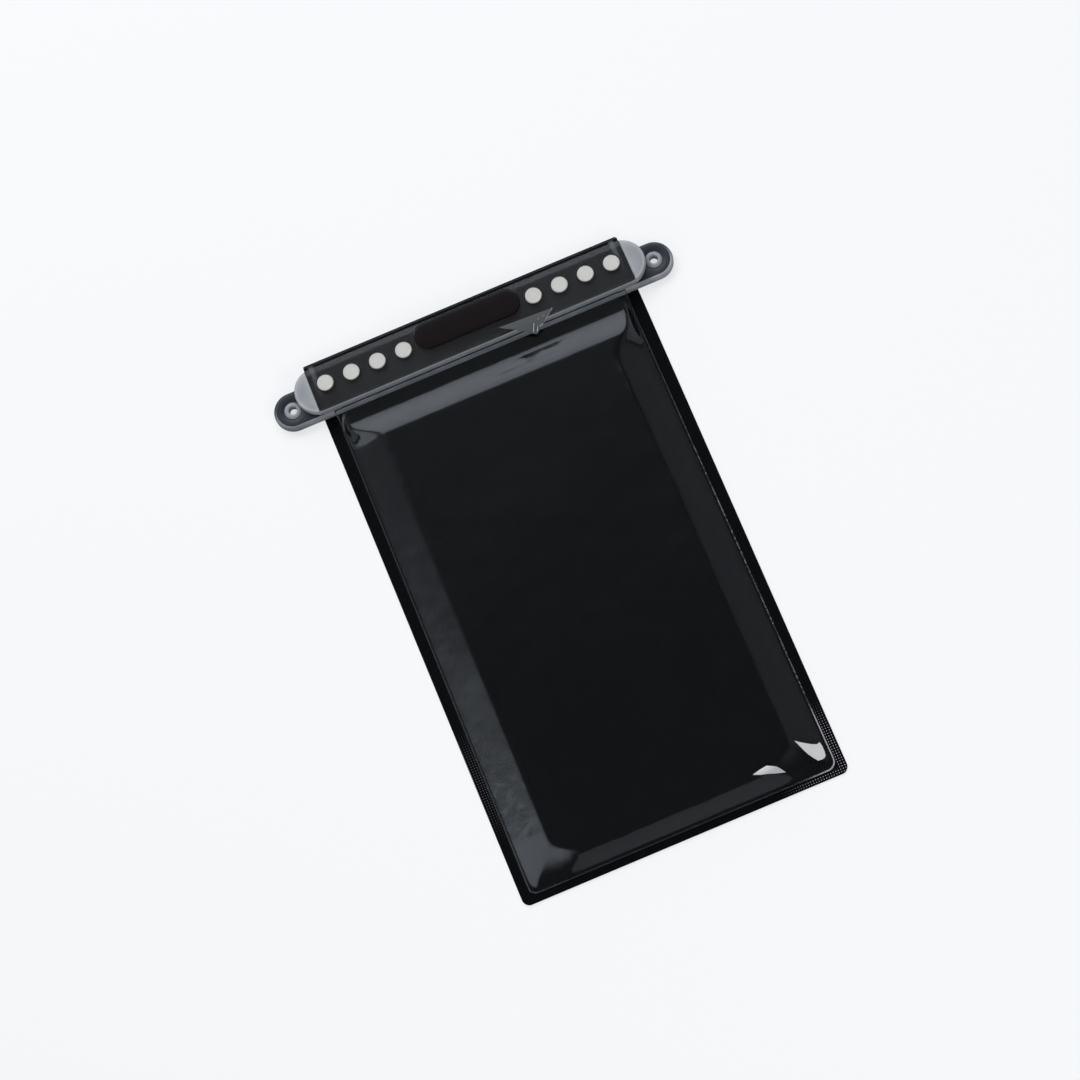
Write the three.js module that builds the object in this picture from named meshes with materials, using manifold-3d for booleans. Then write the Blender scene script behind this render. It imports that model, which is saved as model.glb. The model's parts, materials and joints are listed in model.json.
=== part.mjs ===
// Waterproof phone pouch, lying flat on its back. Millimetres.
// X runs across the pouch, +Y points to the mouth, +Z points up out of the window.
// The origin is under the middle of the pouch, on the surface that it lies on.
import * as THREE from 'three';
import { mergeVertices } from 'three/addons/utils/BufferGeometryUtils.js';
import Module from 'manifold-3d';

const wasm = await Module();
wasm.setup();

// Bag outline
const bagLength = 201.2;
const bagMouthWidth = 116.4;
const bagFootWidth = 113.8;
const bagCornerRadius = 2.6;
const panelThickness = 0.5;
const seatGap = 0.3;

// Front lip, the stiff hem of the front side at the mouth
const frontLipDrop = 2.0;
const frontLipThickness = 0.7;
const lipChamfer = 0.25;

// Front closure strip
const frontStripDrop = 2.25;
const frontStripHeight = 16.2;
const frontStripOverhang = 6.0;
const frontStripFillet = 0.7;

// Rear closure strip, with an ear at each end
const rearStripSkirt = 0.6;
const earOverhang = 8.6;
const earShoulder = 3.4;
const rearStripBevel = 1.2;
const rearStripBevelHeight = 1.9;
const rearStripCrown = 0.55;

// Eyelet in each ear: a raised collar in a shallow dish
const eyeletBore = 2.8;
const eyeletCollarWidth = 1.5;
const eyeletCollarHeight = 0.5;
const eyeletCollarStep = 0.2;
const eyeletDishWidth = 1.5;
const eyeletDishDepth = 0.4;

// Disc magnets, one row in each strip
const magnetCount = 12;
const magnetDiameter = 5.8;
const magnetThickness = 2.0;
const magnetChamfer = 0.2;
const magnetEndMargin = 5.4;
const magnetRowRaise = 1.45;
const magnetPlay = 0.1;
const magnetCover = 0.5;

// Bare oval badge, let into the face of the front strip
const badgeLength = 38.3;
const badgeHeight = 9.6;
const badgeThickness = 0.7;
const badgeRecess = 0.4;
const badgeRaise = 2.4;
const badgeFillet = 0.3;

// Clear window film, formed to the shape of a phone
const filmThickness = 0.5;
const filmSideMargin = 1.9;
const filmFootMargin = 1.6;
const filmCornerRadius = 3.0;
const weldWidth = 2.0;
const footWeldWidth = 1.7;
const weldBeadWidth = 0.6;
const weldBeadHeight = 0.25;
const tongueDepth = 3.6;
const pocketHeight = 8.2;
const sideSlopeRun = 13.0;
const footSlopeRun = 6.7;
const headSlopeRun = 13.0;
const pocketCornerRadius = 6.0;
const pocketShoulderPower = 1.35;
const seamRiseRun = 5.2;

// Folds that the film makes between the closure and the pocket. Each runs down the slope between
// two places given as shares of the window's half width.
const headFolds = [
  { closureShare: -0.88, pocketShare: -0.62, depth: 0.9, width: 3.6 },
  { closureShare: -0.3, pocketShare: -0.5, depth: 0.5, width: 4.5 },
  { closureShare: 0.48, pocketShare: 0.22, depth: 0.8, width: 3.2 },
  { closureShare: 0.9, pocketShare: 0.66, depth: 0.9, width: 3.6 },
];

// Heights above the surface, from the back panel up
const rearStripBase = panelThickness + seatGap;
const pocketDepth = magnetThickness + seatGap + magnetPlay;
const rearStripTop = rearStripBase + pocketDepth + magnetCover;
const frontLipBase = rearStripTop + seatGap;
const frontLipTop = frontLipBase + frontLipThickness;
const frontStripBase = frontLipTop + seatGap;
const badgeFloor = frontStripBase + pocketDepth + magnetCover;
const frontStripTop = badgeFloor + badgeRecess;
const weldBase = panelThickness + seatGap;
const windowUnderside = panelThickness + pocketHeight;

// Places along the pouch, from the mouth down
const mouthEdge = bagLength / 2;
const frontLipEdge = mouthEdge - frontLipDrop;
const frontStripUpper = frontLipEdge - frontStripDrop;
const frontStripLower = frontStripUpper - frontStripHeight;
const frontStripMiddle = (frontStripUpper + frontStripLower) / 2;
const rearStripLower = frontStripLower - rearStripSkirt;
const frontLipLower = rearStripLower + rearStripSkirt / 4;
const magnetRow = frontStripMiddle + magnetRowRaise;
const magnetPitch = (bagMouthWidth - 2 * magnetEndMargin) / (magnetCount - 1);
const earRadius = (frontStripUpper - rearStripLower - earShoulder) / 2;
const earCentreX = bagMouthWidth / 2 + earOverhang;
const earCentreY = rearStripLower + earRadius;
const seamTop = rearStripLower - seatGap;
const seamFoot = seamTop - seamRiseRun;

// Fineness of the round forms
const cornerSteps = 6;
const endSteps = 20;
const discSteps = 24;
const overcut = 1.0;

// How the shoulder above each ear is shared between its hollow and its round corner
const hollowShare = 0.4;
const cornerShare = 0.55;

// Where the rings of the window lie, as shares of the slope to the pocket
const slopeShares = [0, 0.2, 0.4, 0.6, 0.75, 0.88, 1];
const stationGap = 2.0;
const headStations = 23;

const coatedFabric = new THREE.MeshStandardMaterial({ color: 0x101215, roughness: 0.62, metalness: 0 });
const clearFilm = new THREE.MeshStandardMaterial({
  color: 0xdfe5e8, roughness: 0.08, metalness: 0, transparent: true, opacity: 0.25,
});
const clearRubber = new THREE.MeshStandardMaterial({
  color: 0xc9cdd2, roughness: 0.3, metalness: 0, transparent: true, opacity: 0.4,
});
const blackRubber = new THREE.MeshStandardMaterial({ color: 0x24272c, roughness: 0.5, metalness: 0 });
const lipRubber = new THREE.MeshStandardMaterial({ color: 0x17191d, roughness: 0.55, metalness: 0 });
const magnetPlating = new THREE.MeshStandardMaterial({ color: 0xc6c1bb, roughness: 0.4, metalness: 0.8 });
const badgeGloss = new THREE.MeshStandardMaterial({ color: 0x15110f, roughness: 0.18, metalness: 0 });

function toSolid(geometry) {
  const bare = geometry.index ? geometry.toNonIndexed() : geometry.clone();
  bare.deleteAttribute('normal');
  bare.deleteAttribute('uv');
  const merged = mergeVertices(bare, 1e-4);
  return new wasm.Manifold(new wasm.Mesh({
    numProp: 3,
    vertProperties: Float32Array.from(merged.attributes.position.array),
    triVerts: Uint32Array.from(merged.index.array),
  }));
}

function toGeometry(solid) {
  const mesh = solid.getMesh();
  const geometry = new THREE.BufferGeometry();
  geometry.setAttribute('position', new THREE.BufferAttribute(mesh.vertProperties, 3));
  geometry.setIndex(new THREE.BufferAttribute(mesh.triVerts, 1));
  geometry.computeVertexNormals();
  return geometry;
}

function piece(name, geometry, material) {
  const mesh = new THREE.Mesh(geometry, material);
  mesh.name = name;
  return mesh;
}

// Skins a run of closed rings, each with as many points as the next and turning
// anticlockwise from above. The first and last ring are closed by a fan.
function loft(rings) {
  const pointCount = rings[0].length;
  const positions = rings.flat().flatMap((point) => [point.x, point.y, point.z]);
  const triangles = [];
  for (let ring = 0; ring < rings.length - 1; ring += 1) {
    for (let step = 0; step < pointCount; step += 1) {
      const a = ring * pointCount + step;
      const b = ring * pointCount + ((step + 1) % pointCount);
      triangles.push(a, b, b + pointCount, a, b + pointCount, a + pointCount);
    }
  }
  const addFan = (ring, facesUp) => {
    const middle = ring.reduce((sum, point) => sum.add(point), new THREE.Vector3());
    middle.divideScalar(pointCount);
    const hub = positions.length / 3;
    positions.push(middle.x, middle.y, middle.z);
    const first = facesUp ? (rings.length - 1) * pointCount : 0;
    for (let step = 0; step < pointCount; step += 1) {
      const a = first + step;
      const b = first + ((step + 1) % pointCount);
      triangles.push(...(facesUp ? [a, b, hub] : [b, a, hub]));
    }
  };
  addFan(rings[0], false);
  addFan(rings[rings.length - 1], true);
  const geometry = new THREE.BufferGeometry();
  geometry.setAttribute('position', new THREE.Float32BufferAttribute(positions, 3));
  geometry.setIndex(triangles);
  geometry.computeVertexNormals();
  return geometry;
}

function arcPoints(centreX, centreY, radius, fromDegrees, toDegrees, steps) {
  const points = [];
  for (let step = 0; step <= steps; step += 1) {
    const angle = THREE.MathUtils.degToRad(fromDegrees + ((toDegrees - fromDegrees) * step) / steps);
    points.push(new THREE.Vector2(centreX + radius * Math.cos(angle), centreY + radius * Math.sin(angle)));
  }
  return points;
}

const atHeight = (outline, z) => outline.map((point) => new THREE.Vector3(point.x, point.y, z));

// A bar with full round ends, pulled in by inset all round
function roundBarOutline(length, height, middleY, inset) {
  const reach = (length - height) / 2;
  const radius = height / 2 - inset;
  return [
    ...arcPoints(reach, middleY, radius, -90, 90, endSteps),
    ...arcPoints(-reach, middleY, radius, 90, 270, endSteps),
  ];
}

// Rings that round off the upper edge of a bar: pairs of inset and height
function filletRings(radius, base, top, steps) {
  const pairs = [[0, base]];
  for (let step = 0; step <= steps; step += 1) {
    const angle = (Math.PI / 2) * (step / steps);
    pairs.push([radius * (1 - Math.cos(angle)), top - radius * (1 - Math.sin(angle))]);
  }
  return pairs;
}

const magnetX = (index) => (index - (magnetCount - 1) / 2) * magnetPitch;
const magnetIndexes = Array.from({ length: magnetCount }, (unused, index) => index);

function uprightCylinder(radius, x, y, base, top) {
  const cylinder = new THREE.CylinderGeometry(radius, radius, top - base, discSteps);
  cylinder.rotateX(Math.PI / 2);
  cylinder.translate(x, y, (base + top) / 2);
  return toSolid(cylinder);
}

// Blind pockets for the magnets, open at the back of a strip
function cutMagnetPockets(strip, base) {
  const radius = magnetDiameter / 2 + seatGap;
  return magnetIndexes.reduce(
    (solid, index) => solid.subtract(
      uprightCylinder(radius, magnetX(index), magnetRow, base - overcut, base + pocketDepth)),
    strip);
}

function bagOutline(footY, headY, headSquare) {
  const slope = (bagMouthWidth - bagFootWidth) / 2 / bagLength;
  const halfWidthAt = (y) => bagMouthWidth / 2 - (mouthEdge - y) * slope;
  const radius = headSquare ? 0 : bagCornerRadius;
  const footHalf = halfWidthAt(footY) - radius;
  const foot = radius > 0
    ? [
      ...arcPoints(-footHalf, footY + radius, radius, 180, 270, cornerSteps),
      ...arcPoints(footHalf, footY + radius, radius, 270, 360, cornerSteps),
    ]
    : [new THREE.Vector2(-footHalf, footY), new THREE.Vector2(footHalf, footY)];
  const head = halfWidthAt(headY);
  return [...foot, new THREE.Vector2(head, headY), new THREE.Vector2(-head, headY)];
}

function makeBackPanel() {
  const outline = bagOutline(-mouthEdge, mouthEdge, false);
  return loft([atHeight(outline, 0), atHeight(outline, panelThickness)]);
}

function makeFrontLip() {
  const outline = bagOutline(frontLipLower, frontLipEdge, true);
  const chamferedOutline = bagOutline(frontLipLower + lipChamfer, frontLipEdge, true);
  return loft([
    atHeight(outline, frontLipBase),
    atHeight(outline, frontLipTop - lipChamfer),
    atHeight(chamferedOutline, frontLipTop),
  ]);
}

function makeFrontStrip() {
  const length = bagMouthWidth + 2 * frontStripOverhang;
  const rings = filletRings(frontStripFillet, frontStripBase, frontStripTop, 3)
    .map(([inset, z]) => atHeight(roundBarOutline(length, frontStripHeight, frontStripMiddle, inset), z));
  const body = cutMagnetPockets(toSolid(loft(rings)), frontStripBase);
  return toGeometry(body.subtract(badgeSeat()).subtract(tongueSeat()));
}

function badgeSeat() {
  const outline = roundBarOutline(
    badgeLength + 2 * seatGap, badgeHeight + 2 * seatGap, frontStripMiddle + badgeRaise, 0);
  return toSolid(loft([atHeight(outline, badgeFloor), atHeight(outline, frontStripTop + overcut)]));
}

// Step in the strip's back edge, where the upper hem of the window is held
function tongueSeat() {
  const reach = tongueDepth + seatGap;
  const depth = filmThickness + seatGap;
  const block = new THREE.BoxGeometry(2 * (filmHalfWidth + seatGap), reach + overcut, depth + overcut);
  block.translate(0, frontStripLower + (reach - overcut) / 2, frontStripBase + (depth - overcut) / 2);
  return toSolid(block);
}

// Outline of the rear strip: a bar as wide as the mouth, with a lower ear at each end.
function rearStripOutline(inset) {
  const sideX = bagMouthWidth / 2;
  const hollowRadius = earShoulder * hollowShare;
  const cornerRadius = earShoulder * cornerShare;
  const earTop = earCentreY + earRadius;
  const hollow = arcPoints(
    sideX + hollowRadius, earTop + hollowRadius, hollowRadius + inset, 270, 180, cornerSteps);
  const corner = arcPoints(
    sideX - cornerRadius, frontStripUpper - cornerRadius, cornerRadius - inset, 0, 90, cornerSteps);
  const ear = arcPoints(earCentreX, earCentreY, earRadius - inset, -90, 90, endSteps);
  const right = [...ear, ...hollow, ...corner];
  const left = right.map((point) => new THREE.Vector2(-point.x, point.y)).reverse();
  return [...right, ...left];
}

function revolve(profile, x, y) {
  const turned = new THREE.LatheGeometry(profile, discSteps);
  turned.rotateX(Math.PI / 2);
  turned.translate(x, y, 0);
  return toSolid(turned);
}

function makeRearStrip() {
  const levels = [
    [0, rearStripBase],
    [0, rearStripTop - rearStripBevelHeight],
    [rearStripBevel - rearStripCrown, rearStripTop - rearStripCrown],
    [rearStripBevel, rearStripTop],
  ];
  let strip = toSolid(loft(levels.map(([inset, z]) => atHeight(rearStripOutline(inset), z))));
  strip = cutMagnetPockets(strip, rearStripBase);
  const boreRadius = eyeletBore / 2;
  const collarRadius = boreRadius + eyeletCollarWidth;
  const dishRadius = collarRadius + eyeletDishWidth;
  const dishFloor = rearStripTop - eyeletDishDepth;
  const dish = [
    new THREE.Vector2(0, dishFloor),
    new THREE.Vector2(collarRadius, dishFloor),
    new THREE.Vector2(dishRadius, rearStripTop),
    new THREE.Vector2(dishRadius, rearStripTop + overcut),
    new THREE.Vector2(0, rearStripTop + overcut),
  ];
  const collarTop = dishFloor + eyeletCollarHeight;
  const collarMiddle = (boreRadius + collarRadius) / 2;
  const collar = [
    new THREE.Vector2(0, rearStripBase + overcut / 2),
    new THREE.Vector2(collarRadius, rearStripBase + overcut / 2),
    new THREE.Vector2(collarRadius, collarTop - eyeletCollarStep),
    new THREE.Vector2(collarMiddle, collarTop),
    new THREE.Vector2(boreRadius, collarTop - eyeletCollarStep),
    new THREE.Vector2(0, collarTop - eyeletCollarStep),
  ];
  for (const x of [-earCentreX, earCentreX]) {
    strip = strip.subtract(revolve(dish, x, earCentreY)).add(revolve(collar, x, earCentreY));
    strip = strip.subtract(
      uprightCylinder(boreRadius, x, earCentreY, rearStripBase - overcut, rearStripTop + overcut));
  }
  return toGeometry(strip);
}

function makeMagnet() {
  const radius = magnetDiameter / 2;
  const profile = [
    new THREE.Vector2(0, 0),
    new THREE.Vector2(radius - magnetChamfer, 0),
    new THREE.Vector2(radius, magnetChamfer),
    new THREE.Vector2(radius, magnetThickness - magnetChamfer),
    new THREE.Vector2(radius - magnetChamfer, magnetThickness),
    new THREE.Vector2(0, magnetThickness),
  ];
  const disc = new THREE.LatheGeometry(profile, discSteps);
  disc.rotateX(Math.PI / 2);
  return disc;
}

function makeBadge() {
  const base = badgeFloor + seatGap;
  const middle = frontStripMiddle + badgeRaise;
  return loft(filletRings(badgeFillet, base, base + badgeThickness, 2)
    .map(([inset, z]) => atHeight(roundBarOutline(badgeLength, badgeHeight, middle, inset), z)));
}

// The window's edge lies on the back panel, climbs beside the closure and ends on the front lip.
const filmHalfWidth = bagFootWidth / 2 - filmSideMargin;
const filmFoot = -mouthEdge + filmFootMargin;
const tongueEnd = frontStripLower + tongueDepth;

const seamRise = (y) => THREE.MathUtils.clamp((y - seamFoot) / seamRiseRun, 0, 1);
const edgeLevel = (y) => THREE.MathUtils.lerp(weldBase, frontStripBase, seamRise(y));

// How far the folds let the film down at a point of the slope above the pocket
function foldDrop(x, y) {
  const down = (seamTop - y) / headSlopeRun;
  if (down <= 0 || down >= 1) return 0;
  const drop = headFolds.reduce((sum, { closureShare, pocketShare, depth, width }) => {
    const crease = filmHalfWidth * THREE.MathUtils.lerp(closureShare, pocketShare, down);
    return sum + depth * Math.exp(-(((x - crease) / width) ** 2));
  }, 0);
  return drop * Math.sin(Math.PI * down);
}

// One ring of the window. The stations are the points between the corners of a long side.
// The upper side is the underside raised by the film's thickness and, along the weld, by its bead.
function windowRing({ halfWidth, foot, head, radius, stations, lift, bead = 0 }, isUpper) {
  const side = halfWidth - radius;
  const headPoints = Array.from({ length: headStations }, (unused, index) => new THREE.Vector2(
    THREE.MathUtils.lerp(side, -side, (index + 1) / (headStations + 1)), head));
  const outline = [
    ...arcPoints(-side, foot + radius, radius, 180, 270, cornerSteps),
    new THREE.Vector2(0, foot),
    ...arcPoints(side, foot + radius, radius, 270, 360, cornerSteps),
    ...stations.map((y) => new THREE.Vector2(halfWidth, y)),
    ...arcPoints(side, head - radius, radius, 0, 90, cornerSteps),
    ...headPoints,
    ...arcPoints(-side, head - radius, radius, 90, 180, cornerSteps),
    ...stations.map((y) => new THREE.Vector2(-halfWidth, y)).reverse(),
  ];
  return outline.map(({ x, y }) => {
    const level = THREE.MathUtils.lerp(edgeLevel(y), windowUnderside, lift);
    const drop = lift > 0 ? foldDrop(x, y) : 0;
    const thickness = isUpper ? filmThickness + bead * (1 - seamRise(y)) : 0;
    return new THREE.Vector3(x, y, level - drop + thickness);
  });
}

// The rings run from the window's edge to the flat top of the pocket.
function windowRings() {
  const sideStations = [-mouthEdge / 2, 0, mouthEdge / 2];
  const edgeStations = [...sideStations, seamFoot, seamTop - seatGap / 2];
  const weldStations = [...sideStations, seamFoot, seamTop - filmCornerRadius - seatGap];
  const straightEnd = seamTop - headSlopeRun - pocketCornerRadius;
  const pocketStations = [...sideStations, straightEnd - 2 * stationGap, straightEnd - stationGap];
  const rings = [
    {
      halfWidth: filmHalfWidth,
      foot: filmFoot,
      head: tongueEnd,
      radius: filmCornerRadius,
      stations: edgeStations,
      lift: 0,
    },
    {
      halfWidth: filmHalfWidth - weldWidth + weldBeadWidth,
      foot: filmFoot + footWeldWidth - weldBeadWidth,
      head: seamTop + tongueDepth / 2,
      radius: tongueDepth / 2,
      stations: edgeStations,
      lift: 0,
    },
  ];
  rings.push({
    ...rings[1],
    halfWidth: rings[1].halfWidth - weldBeadWidth / 2,
    foot: rings[1].foot + weldBeadWidth / 2,
    head: rings[1].head - seatGap,
    bead: weldBeadHeight,
  });
  for (const share of slopeShares) {
    rings.push({
      halfWidth: filmHalfWidth - weldWidth - sideSlopeRun * share,
      foot: filmFoot + footWeldWidth + footSlopeRun * share,
      head: seamTop - headSlopeRun * share,
      radius: THREE.MathUtils.lerp(filmCornerRadius, pocketCornerRadius, share),
      stations: weldStations.map((y, index) => THREE.MathUtils.lerp(y, pocketStations[index], share)),
      lift: 1 - (1 - share) ** pocketShoulderPower,
    });
  }
  return rings;
}

function makeWindow() {
  const underside = windowRings().map((ring) => windowRing(ring, false));
  const upperSide = windowRings().map((ring) => windowRing(ring, true));
  let film = toSolid(loft([...underside.reverse(), ...upperSide]));
  // The side seams thicken to a wedge where they run up against the closure.
  for (const side of [-1, 1]) {
    const wedge = new THREE.Shape();
    wedge.moveTo(seamFoot, weldBase);
    wedge.lineTo(seamTop, weldBase);
    wedge.lineTo(seamTop, frontStripBase + filmThickness / 2);
    wedge.lineTo(seamTop - filmThickness, frontStripBase);
    wedge.closePath();
    const block = new THREE.ExtrudeGeometry(wedge, { depth: weldWidth, bevelEnabled: false });
    block.rotateX(Math.PI / 2);
    block.rotateZ(Math.PI / 2);
    block.translate(side > 0 ? filmHalfWidth - weldWidth : -filmHalfWidth, 0, 0);
    film = film.add(toSolid(block));
  }
  return toGeometry(film);
}

const pouch = new THREE.Group();
pouch.name = 'phone_pouch';
pouch.add(piece('back_panel', makeBackPanel(), coatedFabric));
pouch.add(piece('rear_closure_strip', makeRearStrip(), blackRubber));
pouch.add(piece('front_lip', makeFrontLip(), lipRubber));
pouch.add(piece('front_window', makeWindow(), clearFilm));
pouch.add(piece('front_closure_strip', makeFrontStrip(), clearRubber));
pouch.add(piece('badge_plate', makeBadge(), badgeGloss));

const magnetGeometry = makeMagnet();
for (const [side, base] of [['rear', rearStripBase], ['front', frontStripBase]]) {
  for (const index of magnetIndexes) {
    const name = `${side}_magnet_${String(index + 1).padStart(2, '0')}`;
    const magnet = piece(name, magnetGeometry, magnetPlating);
    magnet.position.set(magnetX(index), magnetRow, base + magnetPlay);
    pouch.add(magnet);
  }
}

export default pouch;
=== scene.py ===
# Waterproof phone pouch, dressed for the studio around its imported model.
# The dictionaries are in millimetres and degrees. finishPiece() turns a mesh into metres.
import json
import math

import bmesh
import bpy
from mathutils import Euler, Matrix, Vector, noise

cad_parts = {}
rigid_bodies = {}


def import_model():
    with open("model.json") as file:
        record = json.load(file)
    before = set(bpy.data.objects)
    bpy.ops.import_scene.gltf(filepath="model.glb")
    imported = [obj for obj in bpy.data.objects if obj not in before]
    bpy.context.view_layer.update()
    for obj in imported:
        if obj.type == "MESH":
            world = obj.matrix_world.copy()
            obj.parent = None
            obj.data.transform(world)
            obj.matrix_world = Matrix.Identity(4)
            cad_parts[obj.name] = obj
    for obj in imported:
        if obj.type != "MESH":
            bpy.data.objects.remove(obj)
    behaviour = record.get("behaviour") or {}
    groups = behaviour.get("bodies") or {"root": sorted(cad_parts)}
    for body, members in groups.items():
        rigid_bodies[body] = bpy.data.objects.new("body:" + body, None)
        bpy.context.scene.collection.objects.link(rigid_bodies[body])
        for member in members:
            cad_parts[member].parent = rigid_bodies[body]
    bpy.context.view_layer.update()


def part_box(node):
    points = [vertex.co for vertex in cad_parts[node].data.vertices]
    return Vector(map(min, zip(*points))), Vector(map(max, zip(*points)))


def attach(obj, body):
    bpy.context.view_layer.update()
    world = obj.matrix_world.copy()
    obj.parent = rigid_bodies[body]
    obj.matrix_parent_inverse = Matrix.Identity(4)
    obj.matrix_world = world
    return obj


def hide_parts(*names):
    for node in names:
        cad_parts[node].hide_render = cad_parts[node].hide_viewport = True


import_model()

mm = 0.001
root = "root"


def nodeBox(name):
    low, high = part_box(name)
    return Vector(low) / mm, Vector(high) / mm


def smoothStep(low, high, value):
    share = min(max((value - low) / (high - low), 0.0), 1.0)
    return share * share * (3 - 2 * share)


def mix(a, b, share):
    return a + (b - a) * share


def newVerts(made):
    return [v for v in made["geom"] if isinstance(v, bmesh.types.BMVert)]


def everything(bm):
    return bm.verts[:] + bm.edges[:] + bm.faces[:]


def finishPiece(bm, name, materials, smoothAngle=40, recalc=True):
    if recalc:
        bmesh.ops.recalc_face_normals(bm, faces=bm.faces)
    bmesh.ops.scale(bm, vec=(mm, mm, mm), verts=bm.verts)
    mesh = bpy.data.meshes.new(name)
    bm.to_mesh(mesh)
    bm.free()
    mesh.shade_smooth()
    mesh.set_sharp_from_angle(angle=math.radians(smoothAngle))
    for material in materials:
        mesh.materials.append(material)
    piece = bpy.data.objects.new(name, mesh)
    bpy.context.collection.objects.link(piece)
    print("made", name, len(mesh.polygons), "faces")
    return piece


def roundedFace(bm, corners, radii, z, segments):
    # one face whose corners are rounded off one after another
    verts = [bm.verts.new((x, y, z)) for x, y in corners]
    bm.faces.new(verts)
    for vert, radius in zip(verts, radii):
        if radius > 0:
            bmesh.ops.bevel(
                bm, geom=[vert], offset=radius, offset_type="OFFSET", affect="VERTICES",
                segments=segments, profile=0.5, material=-1, clamp_overlap=False,
            )
    bmesh.ops.remove_doubles(bm, verts=[v for v in bm.verts if abs(v.co.z - z) < 1e-6], dist=0.02)
    return [f for f in bm.faces if all(abs(v.co.z - z) < 1e-6 for v in f.verts)][-1]


def raiseSides(bm, face, height):
    # a straight wall from the face's edge, and the face itself lifted
    made = bmesh.ops.extrude_face_region(bm, geom=[face])
    bmesh.ops.translate(bm, vec=(0, 0, height), verts=newVerts(made))
    return [f for f in made["geom"] if isinstance(f, bmesh.types.BMFace)][0]


def insetSteps(bm, face, steps):
    # pairs of inset and rise, each from the one before
    for inset, rise in steps:
        bmesh.ops.inset_region(
            bm, faces=[face], thickness=inset, depth=rise, use_boundary=True, use_even_offset=True,
        )


def thickenUp(bm, thickness):
    # a whole sheet given its thickness
    made = bmesh.ops.extrude_face_region(bm, geom=bm.faces[:])
    bmesh.ops.translate(bm, vec=(0, 0, thickness), verts=newVerts(made))


def quarterRound(inset, rise, count):
    # steps of a quarter ellipse that starts upright and ends flat
    points = [
        (inset * (1 - math.cos(a)), rise * math.sin(a))
        for a in [math.pi / 2 * k / count for k in range(count + 1)]
    ]
    return [(b[0] - a[0], b[1] - a[1]) for a, b in zip(points, points[1:])]


def fillFlat(bm, z):
    # a flat face between all the open edges at this height, with holes where they are
    edges = [
        e for e in bm.edges
        if len(e.link_faces) < 2 and all(abs(v.co.z - z) < 1e-3 for v in e.verts)
    ]
    bmesh.ops.triangle_fill(bm, use_beauty=True, use_dissolve=False, edges=edges)


def openEnds(bm, top, base):
    # take out the top and the underside, so that holes and pockets can be cut in both
    bmesh.ops.delete(bm, geom=[top], context="FACES_ONLY")
    floor = [f for f in bm.faces if all(abs(v.co.z - base) < 1e-3 for v in f.verts)]
    bmesh.ops.delete(bm, geom=floor, context="FACES_ONLY")


def closeEnds(bm, top, base):
    fillFlat(bm, top)
    fillFlat(bm, base)
    bmesh.ops.remove_doubles(bm, verts=bm.verts, dist=1e-4)


def openGrid(bm, width, lower, upper, cell):
    length = upper - lower
    bmesh.ops.create_grid(bm, x_segments=round(width / cell), y_segments=round(length / cell), size=0.5)
    bmesh.ops.scale(bm, vec=(width, length, 1), verts=bm.verts)
    bmesh.ops.translate(bm, vec=(0, (lower + upper) / 2, 0), verts=bm.verts)


def roundFootCorners(bm, halfWidth, foot, radius, cuts):
    for side in (-1, 1):
        centre = Vector((side * (halfWidth - radius), foot + radius, 0))
        for k in range(cuts):
            angle = math.pi / 2 * (k + 0.5) / cuts
            outward = Vector((side * math.sin(angle), -math.cos(angle), 0))
            bmesh.ops.bisect_plane(
                bm, geom=everything(bm), dist=1e-4, plane_co=centre + outward * radius,
                plane_no=outward, clear_outer=True,
            )


def magnetPockets(bm, pocket, base):
    for k in range(pocket["count"]):
        x = (k - (pocket["count"] - 1) / 2) * pocket["pitch"]
        made = bmesh.ops.create_circle(
            bm, cap_ends=True, segments=32, radius=pocket["radius"],
            matrix=Matrix.Translation((x, pocket["row"], base + pocket["depth"])),
        )
        rim = [e for e in bm.edges if e.verts[0] in made["verts"] and e.verts[1] in made["verts"]]
        wall = bmesh.ops.extrude_edge_only(bm, edges=rim)
        bmesh.ops.translate(bm, vec=(0, 0, -pocket["depth"]), verts=newVerts(wall))


def addTube(bm, points, radius, wobble=0.0):
    # a round bead through the points, added to the piece's mesh
    curve = bpy.data.curves.new("beadLine", "CURVE")
    curve.dimensions = "3D"
    curve.bevel_depth = radius
    curve.bevel_resolution = 2
    curve.use_fill_caps = True
    spline = curve.splines.new("POLY")
    spline.points.add(len(points) - 1)
    for k, (point, place) in enumerate(zip(spline.points, points)):
        point.co = (*place, 1)
        point.radius = 1 + wobble * (noise.noise(Vector(place) * 1.7) + 0.4 * (k % 2))
    line = bpy.data.objects.new("beadLine", curve)
    mesh = bpy.data.meshes.new_from_object(line)
    bpy.data.objects.remove(line)
    before = set(bm.faces)
    bm.from_mesh(mesh)
    bpy.data.meshes.remove(mesh)
    bmesh.ops.remove_doubles(bm, verts=bm.verts, dist=1e-4)
    return [f for f in bm.faces if f not in before]


def addNode(tree, kind, **settings):
    node = tree.nodes.new(kind)
    for key, value in settings.items():
        setattr(node, key, value)
    return node


def newGroup(name, inputs, outputs):
    tree = bpy.data.node_groups.new(name, "ShaderNodeTree")
    for label, kind, value in inputs:
        socket = tree.interface.new_socket(name=label, in_out="INPUT", socket_type=kind)
        if value is not None:
            socket.default_value = value
    for label, kind in outputs:
        tree.interface.new_socket(name=label, in_out="OUTPUT", socket_type=kind)
    return tree, addNode(tree, "NodeGroupInput"), addNode(tree, "NodeGroupOutput")


def mathNode(tree, operation, *values):
    node = addNode(tree, "ShaderNodeMath", operation=operation)
    for socket, value in zip(node.inputs, values):
        if isinstance(value, (int, float)):
            socket.default_value = value
        else:
            tree.links.new(value, socket)
    return node.outputs[0]


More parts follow.
